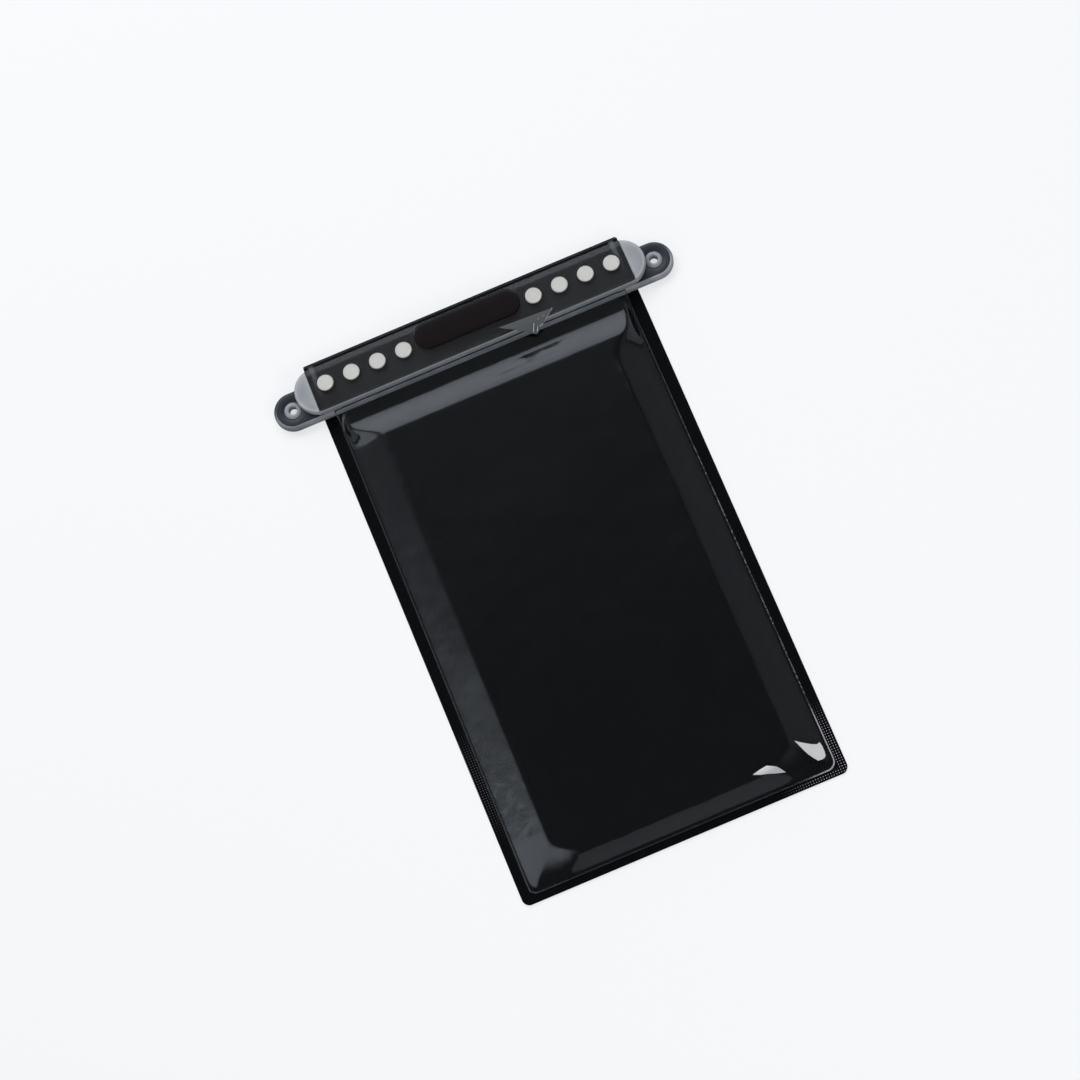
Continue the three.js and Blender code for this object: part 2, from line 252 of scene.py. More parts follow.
def wovenMeshGroup():
    # fine diagonal weave: how high the yarn stands, and where two yarns cross
    tree, start, end = newGroup(
        "wovenMesh",
        [("Vector", "NodeSocketVector", None), ("Pitch", "NodeSocketFloat", 0.65)],
        [("Height", "NodeSocketFloat"), ("Crossing", "NodeSocketFloat")],
    )
    link = tree.links.new
    turn = addNode(tree, "ShaderNodeVectorRotate", rotation_type="Z_AXIS")
    turn.inputs["Angle"].default_value = math.radians(45)
    link(start.outputs["Vector"], turn.inputs["Vector"])
    apart = addNode(tree, "ShaderNodeSeparateXYZ")
    link(turn.outputs[0], apart.inputs[0])
    perMetre = mathNode(tree, "DIVIDE", 2 * math.pi / mm, start.outputs["Pitch"])
    waves = [mathNode(tree, "SINE", mathNode(tree, "MULTIPLY", apart.outputs[k], perMetre)) for k in (0, 1)]
    over = mathNode(tree, "MULTIPLY", waves[0], waves[1])
    link(mathNode(tree, "MULTIPLY_ADD", over, 0.5, 0.5), end.inputs["Height"])
    crossing = addNode(tree, "ShaderNodeMapRange", interpolation_type="SMOOTHSTEP")
    crossing.inputs["From Min"].default_value = 0.6
    crossing.inputs["From Max"].default_value = 1.0
    link(over, crossing.inputs["Value"])
    link(crossing.outputs[0], end.inputs["Crossing"])
    return tree


def softGrainGroup():
    # moulded grain: a fine height and a slow drift of the gloss
    tree, start, end = newGroup(
        "softGrain",
        [
            ("Vector", "NodeSocketVector", None),
            ("Grain Size", "NodeSocketFloat", 0.25),
            ("Drift Size", "NodeSocketFloat", 14.0),
        ],
        [("Height", "NodeSocketFloat"), ("Drift", "NodeSocketFloat")],
    )
    link = tree.links.new
    for socket, output, detail in (("Grain Size", "Height", 2.0), ("Drift Size", "Drift", 3.0)):
        cloud = addNode(tree, "ShaderNodeTexNoise")
        cloud.inputs["Detail"].default_value = detail
        link(start.outputs["Vector"], cloud.inputs["Vector"])
        link(mathNode(tree, "DIVIDE", 1 / mm, start.outputs[socket]), cloud.inputs["Scale"])
        link(cloud.outputs["Fac"], end.inputs[output])
    return tree


wovenMesh = wovenMeshGroup()
softGrain = softGrainGroup()


def newMaterial(name, color, **sockets):
    material = bpy.data.materials.new(name)
    material.use_nodes = True
    tree = material.node_tree
    shader = tree.nodes["Principled BSDF"]
    shader.inputs["Base Color"].default_value = (*color, 1)
    for key, value in sockets.items():
        shader.inputs[key.replace("_", " ")].default_value = value
    place = addNode(tree, "ShaderNodeTexCoord").outputs["Object"]
    return material, tree, shader, place


def toned(color, share):
    return tuple(min(c * share, 1) for c in color)


def partsOf(tree, vector):
    apart = addNode(tree, "ShaderNodeSeparateXYZ")
    tree.links.new(vector, apart.inputs[0])
    return apart.outputs


def placeGroup(tree, group, vector, **values):
    node = addNode(tree, "ShaderNodeGroup", node_tree=group)
    tree.links.new(vector, node.inputs["Vector"])
    for key, value in values.items():
        node.inputs[key.replace("_", " ")].default_value = value
    return node


def rangeOf(tree, value, *limits):
    node = addNode(tree, "ShaderNodeMapRange")
    for key, number in zip(("From Min", "From Max", "To Min", "To Max"), limits):
        node.inputs[key].default_value = number
    tree.links.new(value, node.inputs["Value"])
    return node.outputs[0]


def softRange(tree, value, start, end):
    node = addNode(tree, "ShaderNodeMapRange", interpolation_type="SMOOTHSTEP")
    node.inputs["From Min"].default_value = min(start, end)
    node.inputs["From Max"].default_value = max(start, end)
    node.inputs["To Min"].default_value = 0 if start < end else 1
    node.inputs["To Max"].default_value = 1 if start < end else 0
    tree.links.new(value, node.inputs["Value"])
    return node.outputs[0]


def spotMask(tree, place, centre, inner, outer):
    # 1 inside the inner distance of a spot in the x-y plane, 0 outside the outer one
    flat = addNode(tree, "ShaderNodeVectorMath", operation="MULTIPLY")
    flat.inputs[1].default_value = (1, 1, 0)
    tree.links.new(place, flat.inputs[0])
    away = addNode(tree, "ShaderNodeVectorMath", operation="DISTANCE")
    away.inputs[1].default_value = (centre[0] * mm, centre[1] * mm, 0)
    tree.links.new(flat.outputs["Vector"], away.inputs[0])
    return softRange(tree, away.outputs["Value"], outer * mm, inner * mm)


def colorMix(tree, factor, a, b):
    node = addNode(tree, "ShaderNodeMix", data_type="RGBA")
    tree.links.new(factor, node.inputs["Factor"])
    for name, value in (("A", a), ("B", b)):
        socket = [s for s in node.inputs if s.name == name and s.type == "RGBA"][0]
        if isinstance(value, tuple):
            socket.default_value = (*value, 1)
        else:
            tree.links.new(value, socket)
    return [s for s in node.outputs if s.type == "RGBA"][0]


def addBump(tree, shader, height, strength, distance):
    bump = addNode(tree, "ShaderNodeBump")
    bump.inputs["Distance"].default_value = distance * mm
    bump.inputs["Strength"].default_value = strength
    tree.links.new(height, bump.inputs["Height"])
    tree.links.new(bump.outputs[0], shader.inputs["Normal"])


def driftRange(tree, grain, low, high):
    # a value that follows the grain's slow drift
    return rangeOf(tree, grain.outputs["Drift"], 0.3, 0.7, low, high)


def lampsPass(tree, shader, tint):
    # lamps reach what lies behind the clear piece
    out = tree.nodes["Material Output"]
    path = addNode(tree, "ShaderNodeLightPath")
    clear = addNode(tree, "ShaderNodeBsdfTransparent")
    clear.inputs["Color"].default_value = (*tint, 1)
    choice = addNode(tree, "ShaderNodeMixShader")
    tree.links.new(path.outputs["Is Shadow Ray"], choice.inputs[0])
    tree.links.new(shader.outputs[0], choice.inputs[1])
    tree.links.new(clear.outputs[0], choice.inputs[2])
    tree.links.new(choice.outputs[0], out.inputs["Surface"])


fabricFinish = {
    "black": (0.0032, 0.0034, 0.004),
    # painted glints: pale specks where the yarns cross, faint everywhere outside the weld
    "yarnGlint": (0.62, 0.57, 0.64),
    "pitch": 1.25,
    "roughness": (0.48, 0.62),
    "weldX": (53.7, 54.1),  # the weave shows outside these lines
    "weldFoot": (-98.1, -98.5),
    "glintEverywhere": 0.015,
    "glintSpots": [  # middle, inner and outer distance, strength: where the painted glints on the weave are strongest
        ((57.0, -98.0), 9.0, 25.0, 1.0),
        ((-57.0, -58.0), 3.0, 24.0, 0.3),
    ],
}


def makeFabricMaterial():
    f = fabricFinish
    material, tree, shader, place = newMaterial(
        "coatedFabric", f["black"], Roughness=0.55, Specular_IOR_Level=0.05,
    )
    weave = placeGroup(tree, wovenMesh, place, Pitch=f["pitch"])
    grain = placeGroup(tree, softGrain, place, Grain_Size=0.8, Drift_Size=16.0)
    x, y, z = partsOf(tree, place)
    side, foot = (
        rangeOf(tree, value, start * mm, end * mm, 0, 1)
        for value, (start, end) in ((mathNode(tree, "ABSOLUTE", x), f["weldX"]), (y, f["weldFoot"]))
    )
    border = mathNode(tree, "MAXIMUM", side, foot)
    glintShare = f["glintEverywhere"]
    for centre, inner, outer, amount in f["glintSpots"]:
        spot = mathNode(tree, "MULTIPLY", spotMask(tree, place, centre, inner, outer), amount)
        glintShare = mathNode(tree, "MAXIMUM", glintShare, spot)
    # painted glints on the yarn crossings, outside the weld only
    speck = mathNode(tree, "MULTIPLY", mathNode(tree, "MULTIPLY", weave.outputs["Crossing"], glintShare), border)
    tree.links.new(colorMix(tree, speck, f["black"], f["yarnGlint"]), shader.inputs["Base Color"])
    tree.links.new(driftRange(tree, grain, *f["roughness"]), shader.inputs["Roughness"])
    addBump(tree, shader, mathNode(tree, "MULTIPLY", weave.outputs["Height"], border), 0.8, 0.12)
    return material


def makeRubberMaterial(name, color, roughness, grainSize, strength, specular=0.5):
    material, tree, shader, place = newMaterial(
        name, color, Roughness=roughness, Specular_IOR_Level=specular,
    )
    grain = placeGroup(tree, softGrain, place, Grain_Size=grainSize, Drift_Size=12.0)
    tone = colorMix(tree, grain.outputs["Drift"], toned(color, 0.88), toned(color, 1.15))
    tree.links.new(tone, shader.inputs["Base Color"])
    tree.links.new(driftRange(tree, grain, roughness - 0.05, roughness + 0.05), shader.inputs["Roughness"])
    addBump(tree, shader, grain.outputs["Height"], strength, 0.05)
    return material


lipFinish = {
    "color": (0.0045, 0.0047, 0.0055),
    "endHighlight": (0.1, 0.105, 0.115),  # painted highlight beside the clear strip's ends, for the reflections there
    "endHighlightX": [(54.3, 55.4), (57.0, 56.0)],  # where it comes and where it goes
    "endHighlightY": (83.5, 92.5),
}


def makeLipMaterial():
    f = lipFinish
    color = f["color"]
    material, tree, shader, place = newMaterial("lipRubber", color, Roughness=0.5, Specular_IOR_Level=0.1)
    grain = placeGroup(tree, softGrain, place, Grain_Size=0.5, Drift_Size=12.0)
    x, y, z = partsOf(tree, place)
    side = mathNode(tree, "ABSOLUTE", x)
    # painted highlight: a pale band beside each end of the clear strip
    endHighlight = mathNode(tree, "MULTIPLY", *(softRange(tree, side, a * mm, b * mm) for a, b in f["endHighlightX"]))
    endHighlight = mathNode(tree, "MULTIPLY", endHighlight, softRange(tree, y, *(limit * mm for limit in f["endHighlightY"])))
    dark = colorMix(tree, grain.outputs["Drift"], toned(color, 0.8), toned(color, 1.3))
    tree.links.new(colorMix(tree, endHighlight, dark, f["endHighlight"]), shader.inputs["Base Color"])
    addBump(tree, shader, grain.outputs["Height"], 0.1, 0.02)
    return material


edgePaintedLightAndDrift = {
    "color": (0.12, 0.125, 0.13),
    # painted light: the bevel's tones between the ears and on each ear
    "middle": (0.45, 0.465, 0.485),
    "leftEar": (0.3, 0.31, 0.32),
    "rightEar": (0.62, 0.63, 0.64),
    # the painted light fades to this dark above upperY
    "upper": (0.045, 0.048, 0.055),
    "dull": (0.05, 0.053, 0.06),
    "earX": (59.0, 69.0),  # where the ears' painted light begins and is full
    "upperY": (83.0, 90.5),
}


def makeEdgeRubberMaterial():
    # the rear strip's thin bevel, painted lighter as painted light: mid grey between the ears, darker on
    # the left ear, palest on the right ear, fading to dark towards the top
    f = edgePaintedLightAndDrift
    material, tree, shader, place = newMaterial("edgeRubber", f["color"], Roughness=0.3)
    grain = placeGroup(tree, softGrain, place, Grain_Size=0.4, Drift_Size=7.0)
    x, y, z = partsOf(tree, place)
    ear = softRange(tree, mathNode(tree, "ABSOLUTE", x), *(limit * mm for limit in f["earX"]))
    earLight = colorMix(tree, softRange(tree, x, -10 * mm, 10 * mm), f["leftEar"], f["rightEar"])
    tone = colorMix(tree, ear, f["middle"], earLight)
    tone = colorMix(tree, softRange(tree, y, *(limit * mm for limit in f["upperY"])), tone, f["upper"])
    drift = rangeOf(tree, grain.outputs["Drift"], 0.35, 0.65, 0.0, 0.35)
    tree.links.new(colorMix(tree, drift, tone, f["dull"]), shader.inputs["Base Color"])
    addBump(tree, shader, grain.outputs["Height"], 0.2, 0.04)
    return material


def makeOpaqueFilmMaterial(name, color, roughness):
    # opaque film with a fine grain, used white and grey
    material, tree, shader, place = newMaterial(name, color, Roughness=roughness)
    grain = placeGroup(tree, softGrain, place, Grain_Size=0.35, Drift_Size=4.0)
    tone = colorMix(tree, grain.outputs["Height"], toned(color, 0.9), color)
    tree.links.new(tone, shader.inputs["Base Color"])
    addBump(tree, shader, grain.outputs["Height"], 0.15, 0.03)
    return material


filmFinish = {
    "tint": (0.9, 0.93, 0.95),
    "roughness": (0.02, 0.07),
    "clearness": 1.0,
    "lamps": (0.9, 0.91, 0.92),  # how much of the lamps' light passes
}


def makeFilmMaterial():
    f = filmFinish
    material, tree, shader, place = newMaterial(
        "clearFilm", f["tint"], Roughness=0.035, Transmission_Weight=f["clearness"], IOR=1.48,
    )
    slow = placeGroup(tree, softGrain, place, Grain_Size=9.0, Drift_Size=30.0)
    tree.links.new(driftRange(tree, slow, *f["roughness"]), shader.inputs["Roughness"])
    addBump(tree, shader, slow.outputs["Height"], 0.35, 0.35)
    lampsPass(tree, shader, f["lamps"])
    return material


stripFinish = {
    "tint": (0.9, 0.9, 0.905),
    "roughness": (0.06, 0.12),
    "clearness": 0.99,
    "lamps": (0.97, 0.97, 0.97),
}


def makeStripMaterial():
    f = stripFinish
    material, tree, shader, place = newMaterial(
        "clearRubber", f["tint"], Roughness=0.1, Transmission_Weight=f["clearness"], IOR=1.48,
        Specular_IOR_Level=0.35,
    )
    slow = placeGroup(tree, softGrain, place, Grain_Size=1.2, Drift_Size=10.0)
    tree.links.new(driftRange(tree, slow, *f["roughness"]), shader.inputs["Roughness"])
    addBump(tree, shader, slow.outputs["Height"], 0.02, 0.01)
    lampsPass(tree, shader, f["lamps"])
    return material


frostFinish = {
    "color": (0.48, 0.495, 0.515),
    # painted highlight along the ends' outer rim
    "rim": (0.65, 0.665, 0.68),
    "beside": (0.53, 0.54, 0.56),  # next to where the bag ends
    "dull": (0.24, 0.25, 0.27),
    "besideX": (60.2, 58.4),
    "cap": ((56.1, 88.25), 6.6, 7.6),  # middle, inner and outer distance of the flat inside the rim
}


def makeFrostMaterial():
    # the strip's ends, where nothing black is bonded behind the frosted back, with a painted highlight
    # along their rim
    f = frostFinish
    material, tree, shader, place = newMaterial(
        "frostedRubber", f["color"], Roughness=0.3, Transmission_Weight=0.2, IOR=1.48,
    )
    grain = placeGroup(tree, softGrain, place, Grain_Size=0.4, Drift_Size=6.0)
    mirrored = addNode(tree, "ShaderNodeVectorMath", operation="ABSOLUTE")
    tree.links.new(place, mirrored.inputs[0])
    x, y, z = partsOf(tree, mirrored.outputs["Vector"])
    beside = softRange(tree, x, *(limit * mm for limit in f["besideX"]))
    tone = colorMix(tree, beside, f["color"], f["beside"])
    tone = colorMix(tree, spotMask(tree, mirrored.outputs["Vector"], *f["cap"]), f["rim"], tone)
    tone = colorMix(tree, driftRange(tree, grain, 0.0, 0.3), tone, f["dull"])
    tree.links.new(tone, shader.inputs["Base Color"])
    addBump(tree, shader, grain.outputs["Height"], 0.15, 0.04)
    return material


badgeFinish = {"color": (0.0098, 0.0068, 0.0075), "roughness": 0.2, "coat": 0.15}


def makeBadgeMaterial():
    f = badgeFinish
    material, tree, shader, place = newMaterial(
        "badgeGloss", f["color"], Roughness=f["roughness"], Coat_Weight=f["coat"], Coat_Roughness=0.1,
        Specular_IOR_Level=0.25,
    )
    grain = placeGroup(tree, softGrain, place, Grain_Size=1.6, Drift_Size=8.0)
    tone = colorMix(tree, grain.outputs["Drift"], toned(f["color"], 0.85), toned(f["color"], 1.2))
    tree.links.new(tone, shader.inputs["Base Color"])
    addBump(tree, shader, grain.outputs["Height"], 0.12, 0.05)
    return material


magnetFinish = {"color": (0.97, 0.92, 0.86), "roughness": (0.54, 0.68), "metal": 0.05}


def makeMagnetMaterial():
    f = magnetFinish
    material, tree, shader, place = newMaterial(
        "magnetPlating", f["color"], Roughness=0.6, Metallic=f["metal"],
    )
    grain = placeGroup(tree, softGrain, place, Grain_Size=0.22, Drift_Size=3.0)
    tone = colorMix(tree, grain.outputs["Height"], toned(f["color"], 0.9), toned(f["color"], 1.08))
    tree.links.new(tone, shader.inputs["Base Color"])
    tree.links.new(driftRange(tree, grain, *f["roughness"]), shader.inputs["Roughness"])
    addBump(tree, shader, grain.outputs["Height"], 0.25, 0.02)
    return material


weldFinish = {
    "dark": (0.03, 0.032, 0.035),
    "bright": (0.5, 0.5, 0.5),
    "corner": ((55.0, -90.0), 9.0, 16.0),  # where it shines: middle, inner and outer distance
    "side": ((54.0, -30.0), 20.0, 85.0),  # where it shines in dots
    "sideStrength": 0.4,
    "dots": (0.46, 0.56),
}


def makeWeldMaterial():
    f = weldFinish
    material, tree, shader, place = newMaterial(
        "weldGloss", f["dark"], Roughness=0.2, Coat_Weight=0.6, Coat_Roughness=0.08,
    )
    grain = placeGroup(tree, softGrain, place, Grain_Size=0.9, Drift_Size=18.0)
    corner = spotMask(tree, place, *f["corner"])
    side = mathNode(tree, "MULTIPLY", spotMask(tree, place, *f["side"]), f["sideStrength"])
    dots = rangeOf(tree, grain.outputs["Height"], *f["dots"], 0.0, 1.0)
    glint = mathNode(tree, "MAXIMUM", corner, mathNode(tree, "MULTIPLY", side, dots))
    tree.links.new(colorMix(tree, glint, f["dark"], f["bright"]), shader.inputs["Base Color"])
    addBump(tree, shader, grain.outputs["Height"], 0.4, 0.1)
    return material


collarFinish = {"color": (0.42, 0.43, 0.445), "roughness": 0.28}


def makeCollarMaterial():
    f = collarFinish
    material, tree, shader, place = newMaterial("eyeletCollar", f["color"], Roughness=f["roughness"])
    grain = placeGroup(tree, softGrain, place, Grain_Size=0.3, Drift_Size=4.0)
    tone = colorMix(tree, grain.outputs["Drift"], toned(f["color"], 0.75), f["color"])
    tree.links.new(tone, shader.inputs["Base Color"])
    addBump(tree, shader, grain.outputs["Height"], 0.15, 0.03)
    return material


weldGloss = makeWeldMaterial()
eyeletCollar = makeCollarMaterial()
coatedFabric = makeFabricMaterial()
# name, colour, roughness, grain size, bump strength, and specular level where it is low
blackRubber = makeRubberMaterial("blackRubber", (0.03, 0.035, 0.043), 0.34, 0.3, 0.2)
lipRubber = makeLipMaterial()
ribRubber = makeRubberMaterial("ribRubber", (0.024, 0.025, 0.028), 0.3, 0.4, 0.2)  # the lip's bead
litWallRubber = makeRubberMaterial("litWallRubber", (0.4, 0.415, 0.435), 0.25, 0.4, 0.2)  # painted light on the strip's lower wall
pocketRubber = makeRubberMaterial("pocketRubber", (0.006, 0.0062, 0.007), 0.5, 0.5, 0.2, 0.1)
edgeRubber = makeEdgeRubberMaterial()
# white: painted reflections by the foot, and the fold's pale streaks
whiteFilm = makeOpaqueFilmMaterial("whiteFilm", (0.9, 0.9, 0.89), 0.3)
hazyFilm = makeOpaqueFilmMaterial("hazyFilm", (0.115, 0.12, 0.122), 0.22)
clearFilm = makeFilmMaterial()
clearRubber = makeStripMaterial()
frostedRubber = makeFrostMaterial()
badgeGloss = makeBadgeMaterial()
magnetPlating = makeMagnetMaterial()
print("materials ready")


backPanel = {  # coated fabric, cut to the bag's outline
    "mouthWidth": 116.4,
    "footWidth": 113.8,
    "length": 201.2,
    "cornerRadius": 2.6,
    "cornerCuts": 6,
    "cellSize": 1.6,
    "thickness": 0.5,
}


def makeBackPanel():
    p = backPanel
    low, high = nodeBox("back_panel")
    bm = bmesh.new()
    openGrid(bm, p["mouthWidth"], -p["length"] / 2, p["length"] / 2, p["cellSize"])
    narrowing = p["footWidth"] / p["mouthWidth"]
    for v in bm.verts:
        v.co.x *= mix(narrowing, 1, v.co.y / p["length"] + 0.5)
    roundFootCorners(bm, p["footWidth"] / 2, low.y, p["cornerRadius"], p["cornerCuts"])
    thickenUp(bm, p["thickness"])
    piece = finishPiece(bm, "backPanelFabric", [coatedFabric])
    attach(piece, root)
    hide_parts("back_panel")


makeBackPanel()


magnetRow = {"count": 12, "pitch": 9.6, "row": 89.7, "radius": 3.2, "depth": 2.4}  # both strips' pockets

rearStrip = {  # bevelled, with an ear and an eyelet at each end
    "sideX": 58.2,
    "upper": 96.35,
    "lower": 79.55,
    "earTop": 92.95,
    "earEnd": 73.5,
    "earRadius": 6.696,
    "hollowRadius": 1.4,
    "shoulderRadius": 1.8,
    "earX": 66.8,
    "earY": 86.25,
    "bevelInset": 1.3,
    "bevelRise": 1.5,
    "bore": 1.4,
    "collar": [  # how far outside the bore and over the top, from the dish's rim down into the bore
        (3.0, 0), (2.75, -0.04), (2.4, -0.16), (2.05, -0.33), (1.75, -0.42), (1.5, -0.4), (1.3, -0.22),
        (1.1, -0.02), (0.85, 0.08), (0.55, 0.1), (0.25, 0.03), (0.08, -0.12), (0, -0.35),
    ],
    "collarWidth": 1.4,
    "dishWidth": 3.2,
    "paleFrom": 0.3,  # how far over the back the bevel's painted light starts
    "paleY": 81.2,
}


def makeEyelet(bm, x, y, base, top):
    bore = rearStrip["bore"]
    profile = [(bore + out, top + over) for out, over in rearStrip["collar"]] + [(bore, base)]
    verts = [bm.verts.new((x + r, y, z)) for r, z in profile]
    edges = [bm.edges.new(pair) for pair in zip(verts, verts[1:])]
    bmesh.ops.spin(
        bm, geom=verts + edges, cent=(x, y, 0), axis=(0, 0, 1), dvec=(0, 0, 0),
        angle=2 * math.pi, steps=48, use_merge=True, use_duplicate=False,
    )


def makeRearStrip():
    s = rearStrip
    low, high = nodeBox("rear_closure_strip")
    right = [
        (s["earEnd"], s["lower"], s["earRadius"]), (s["earEnd"], s["earTop"], s["earRadius"]),
        (s["sideX"], s["earTop"], s["hollowRadius"]), (s["sideX"], s["upper"], s["shoulderRadius"]),
    ]
    outline = right + [(-x, y, r) for x, y, r in reversed(right)]
    bm = bmesh.new()
    face = roundedFace(bm, [o[:2] for o in outline], [o[2] for o in outline], low.z, 14)
    wall = high.z - low.z - s["bevelRise"]
    top = raiseSides(bm, face, wall)
    insetSteps(bm, top, quarterRound(s["bevelInset"], s["bevelRise"], 7) + [(0.25, 0)])
    openEnds(bm, top, low.z)
    for side in (-1, 1):
        makeEyelet(bm, side * s["earX"], s["earY"], low.z, high.z)
    magnetPockets(bm, magnetRow, low.z)
    closeEnds(bm, high.z, low.z)
    bmesh.ops.recalc_face_normals(bm, faces=bm.faces)
    for f in bm.faces:
        middle = f.calc_center_median()
        away = math.hypot(abs(middle.x) - s["earX"], middle.y - s["earY"]) - s["bore"]
        onWall = low.z + s["paleFrom"] < middle.z < high.z - 0.01 and abs(f.normal.z) < 0.93
        if away < s["collarWidth"]:
            f.material_index = 1 if middle.z > low.z + 0.1 else 0
        elif away > s["dishWidth"] and onWall and f.normal.y < 0.45:
            # low bevel faces and the ears' bevel get the edge material's painted light
            f.material_index = 2 if middle.y < s["paleY"] or abs(middle.x) > s["sideX"] else 0
    piece = finishPiece(bm, "rearClosureStrip", [blackRubber, eyeletCollar, edgeRubber])
    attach(piece, root)
    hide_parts("rear_closure_strip")


makeRearStrip()


frontLip = {  # the stiff hem above and behind the clear strip
    "lower": 80.6,
    "upper": 98.6,
    "mouthWidth": 116.4,
    "narrowing": 0.25,
    "edgeRadius": 0.3,
    "bead": (98.3, 4.7, 0.22, 57.8),  # place along y, height, radius, half length
    "tab": (56.5, 81.8, 4.84),  # the hem's ends, seen through the clear strip
    "tabSize": (3.2, 1.7, 0.22),
}


def makeFrontLip():
    p = frontLip
    low, high = nodeBox("front_lip")
    half = p["mouthWidth"] / 2
    foot = half - p["narrowing"]
    corners = [(-foot, p["lower"]), (foot, p["lower"]), (half, p["upper"]), (-half, p["upper"])]
    bm = bmesh.new()
    face = roundedFace(bm, corners, [0] * 4, low.z, 1)
    top = raiseSides(bm, face, high.z - low.z - p["edgeRadius"])
    insetSteps(bm, top, quarterRound(p["edgeRadius"], p["edgeRadius"], 4) + [(0.2, 0)])
    y, z, radius, length = p["bead"]
    for f in addTube(bm, [(-length, y, z), (length, y, z)], radius):
        f.material_index = 1
    for side in (-1, 1):
        x, y, z = p["tab"]
        made = bmesh.ops.create_cube(
            bm, size=1, matrix=Matrix.Translation((side * x, y, z)) @ Matrix.Diagonal((*p["tabSize"], 1)),
        )
        edges = {e for v in made["verts"] for e in v.link_edges}
        bmesh.ops.bevel(bm, geom=list(edges), offset=0.08, segments=2, profile=0.5, affect="EDGES")
    piece = finishPiece(bm, "frontLipHem", [lipRubber, ribRubber])
    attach(piece, root)
    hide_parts("front_lip")


makeFrontLip()


frontStrip = {  # clear, across the front, with the magnets' pockets and the badge's seat
    "length": 128.4,
    "height": 16.2,
    "middle": 88.25,
    "edgeInset": 0.75,
    "edgeRise": 0.85,
    "crown": [(0.45, 0.07), (0.6, 0.14), (0.5, 0.06), (0.5, 0.03)],
    "frostX": 58.2,
    "badgeLength": 38.9,
    "badgeHeight": 10.2,
    "badgeMiddle": 90.65,
    "seatFloor": 7.9,
    "lowerY": 81.0,  # below this are the lower wall and edge
    "pocketY": (82.0, 95.8),
}


def roundBar(bm, length, height, middle, z, segments):
    # a flat bar with full round ends
    x, y = length / 2, height / 2
    corners = [(-x, middle - y), (x, middle - y), (x, middle + y), (-x, middle + y)]
    return roundedFace(bm, corners, [y - 0.004] * 4, z, segments)


def makeFrontStrip():
    s = frontStrip
    low, high = nodeBox("front_closure_strip")
    bm = bmesh.new()
    face = roundBar(bm, s["length"], s["height"], s["middle"], low.z, 20)
    crownRise = sum(rise for inset, rise in s["crown"])
    top = raiseSides(bm, face, high.z - low.z - s["edgeRise"] - crownRise)
    insetSteps(bm, top, quarterRound(s["edgeInset"], s["edgeRise"], 6) + s["crown"] + [(0.2, 0)])
    openEnds(bm, top, low.z)
    seat = roundBar(bm, s["badgeLength"], s["badgeHeight"], s["badgeMiddle"], s["seatFloor"], 14)
    rim = bmesh.ops.extrude_edge_only(bm, edges=seat.edges[:])
    bmesh.ops.translate(bm, vec=(0, 0, high.z - s["seatFloor"]), verts=newVerts(rim))
    magnetPockets(bm, magnetRow, low.z)
    closeEnds(bm, high.z, low.z)
    for side in (-1, 1):
        bmesh.ops.bisect_plane(
            bm, geom=everything(bm), dist=1e-4, plane_co=(side * s["frostX"], 0, 0), plane_no=(1, 0, 0),
        )
    bmesh.ops.recalc_face_normals(bm, faces=bm.faces)
    for f in bm.faces:
        middle = f.calc_center_median()
        upright = abs(f.normal.z) < 0.3
        if abs(middle.x) > s["frostX"]:
            f.material_index = 1
        elif middle.y < s["lowerY"] and f.normal.y < -0.6 and 0.2 < f.normal.z < 0.62:
            f.material_index = 1  # a painted highlight line along the lower edge, in the frosted material
        elif middle.y < s["lowerY"] and upright:
            # the lower wall, with its painted light
            f.material_index = 2
        elif s["pocketY"][0] < middle.y < s["pocketY"][1] and upright:
            f.material_index = 3
    piece = finishPiece(bm, "clearClosureStrip", [clearRubber, frostedRubber, litWallRubber, pocketRubber])
    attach(piece, root)
    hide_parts("front_closure_strip")


makeFrontStrip()


badge = {  # a bare domed oval let into the strip
    "length": 38.3,
    "height": 9.6,
    "middle": 90.65,
    "thickness": 0.42,
    "edgeRadius": 0.16,
    "dome": [(0.8, 0.03), (0.9, 0.02), (0.9, 0.012), (0.9, 0.006)],
}


def makeBadge():
    b = badge
    bm = bmesh.new()
    face = roundBar(bm, b["length"], b["height"], b["middle"], nodeBox("badge_plate")[0].z, 16)
    top = raiseSides(bm, face, b["thickness"] - b["edgeRadius"] - sum(rise for inset, rise in b["dome"]))
    insetSteps(bm, top, quarterRound(b["edgeRadius"], b["edgeRadius"], 5) + b["dome"])
    piece = finishPiece(bm, "badgePlate", [badgeGloss])
    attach(piece, root)
    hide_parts("badge_plate")


makeBadge()


windowFilm = {  # welded to the fabric, raised over the pocket
    "halfWidth": 53.7,
    "foot": -98.0,
    "head": 80.05,
    "cornerRadius": 2.6,
    "cell": 0.8,
    "thickness": 0.3,
    "weldInner": 53.0,
    "weldFoot": -97.3,
    "weldRadius": 3.0,
    "seamFoot": 73.5,
    "seamTop": 78.3,
    "welded": 0.55,
    "closure": 4.6,
    "pocketTop": 8.65,
    "pocketHalf": 40.0,
    "headWider": 8.5,  # how much narrower the side slopes are beside the head
    "widerFrom": (64.0, 56.0),  # where that starts and ends, left and right
    "widerTo": (73.0, 68.0),
    "pocketFoot": -90.6,
    "pocketRadius": 9.0,
    "headStart": 72.8,
    "headEnd": 64.4,
    "sidePower": 1.35,
    "headPower": 1.08,
    "weldBend": 0.05,
    "hip": 0.2,  # how soft the hips between the head and the sides are
    "sag": [(0.22, 38, 46, 3.7), (0.07, 12, 15, 8.1)],  # height, lengths along x and y, seed
    "sink": 0.1,
    "calm": (3.0, 1.5),  # no dents this close to the weld and to the head
}

